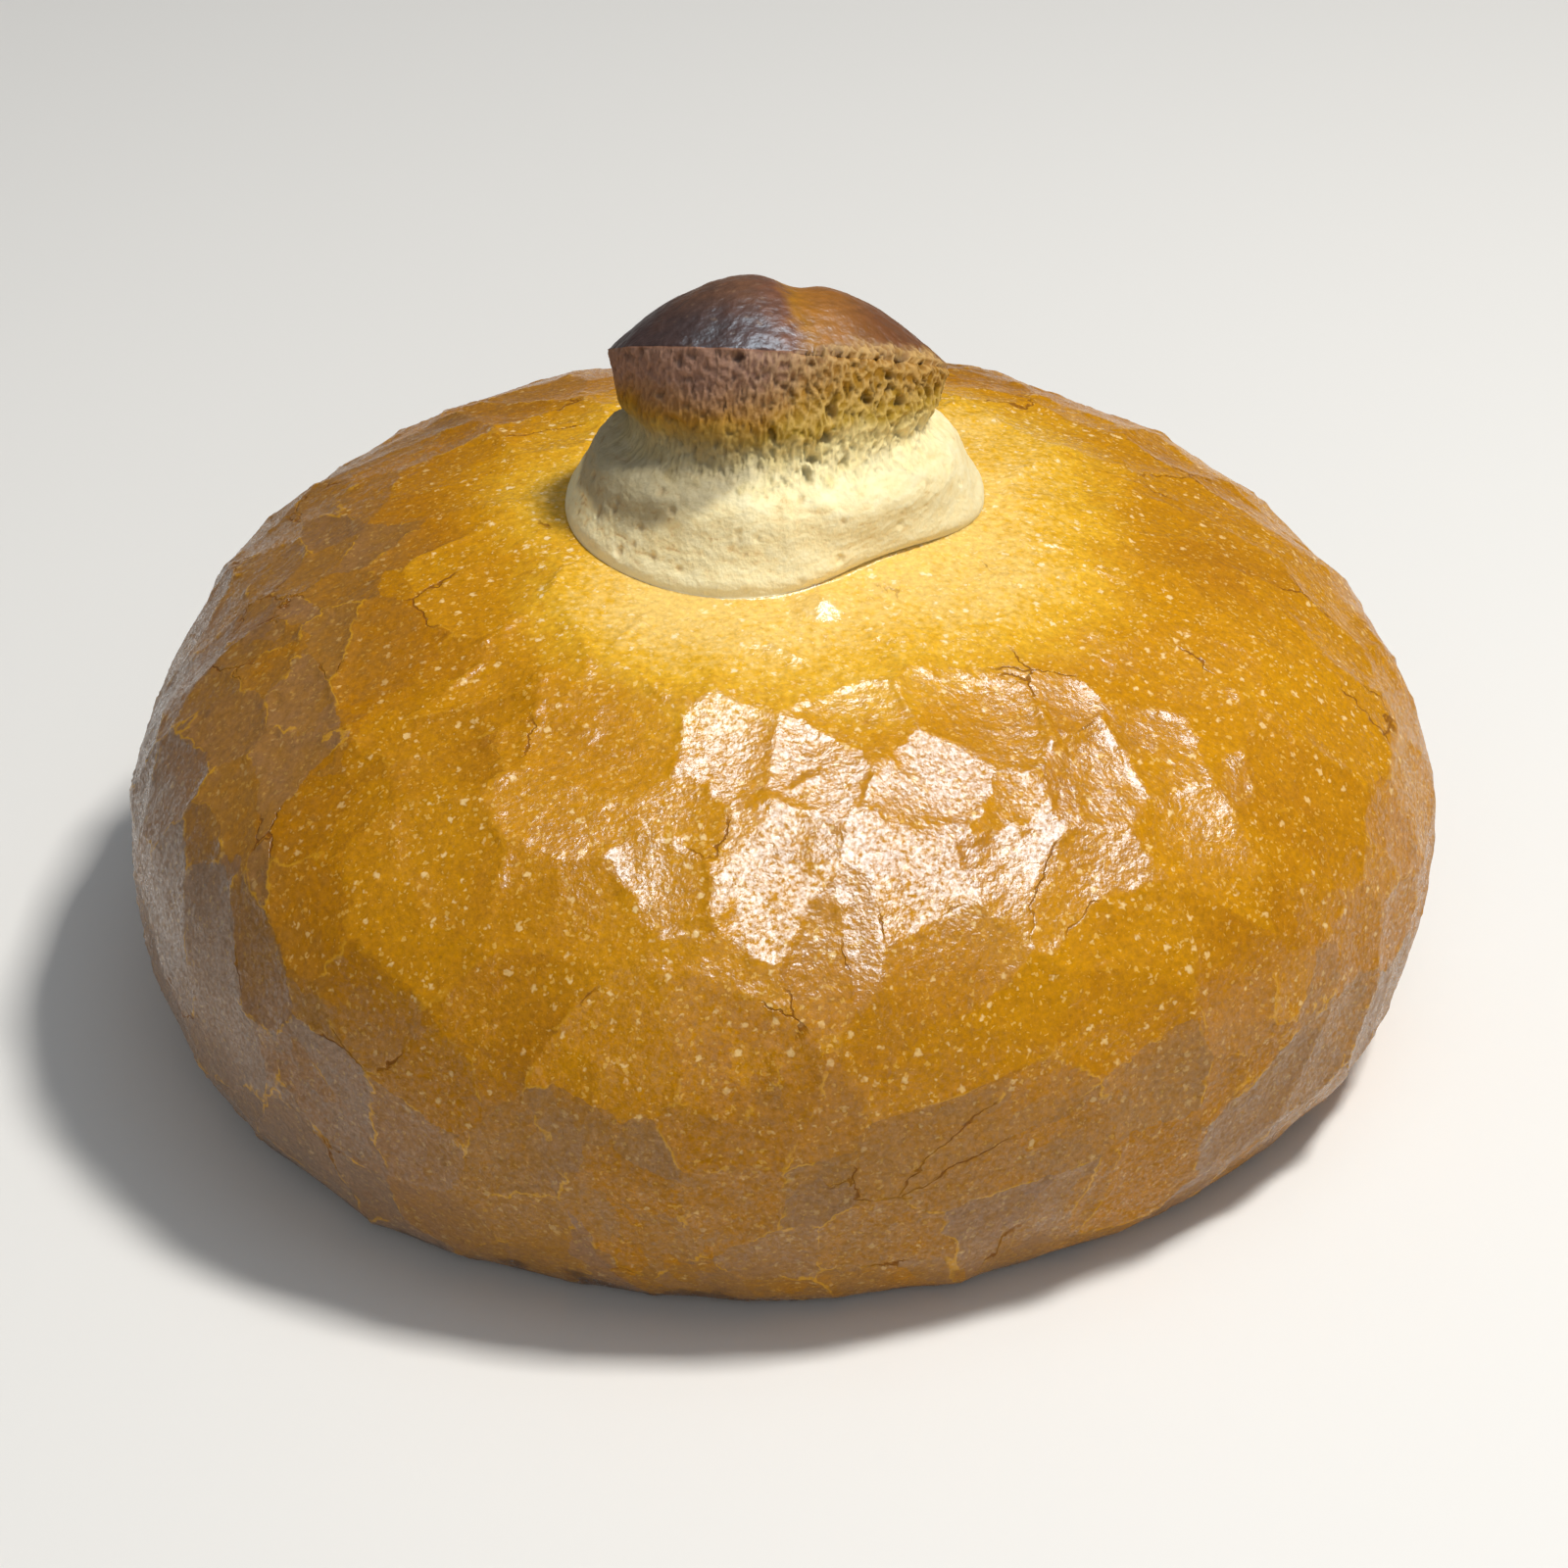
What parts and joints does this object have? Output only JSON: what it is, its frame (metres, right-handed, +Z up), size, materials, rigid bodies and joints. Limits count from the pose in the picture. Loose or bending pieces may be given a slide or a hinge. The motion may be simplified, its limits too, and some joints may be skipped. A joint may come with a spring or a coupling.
{
  "type": "round bread loaf with a topknot",
  "caption": "Round country loaf with a thin flaking golden crust, a pale torn collar and a dark leaning topknot.",
  "frame": {"origin": "on the surface the loaf rests on, under the middle of its bounding box", "axes": "+Z up; -Y towards the side where the torn wall under the topknot is tallest; +X to the right of that front"},
  "size_m": [0.237, 0.2396, 0.1419],
  "materials": {
    "crust": "satin, baked crust"
  },
  "bodies": {
    "root": {"bread_loaf": "crust"}
  },
  "joints": []
}
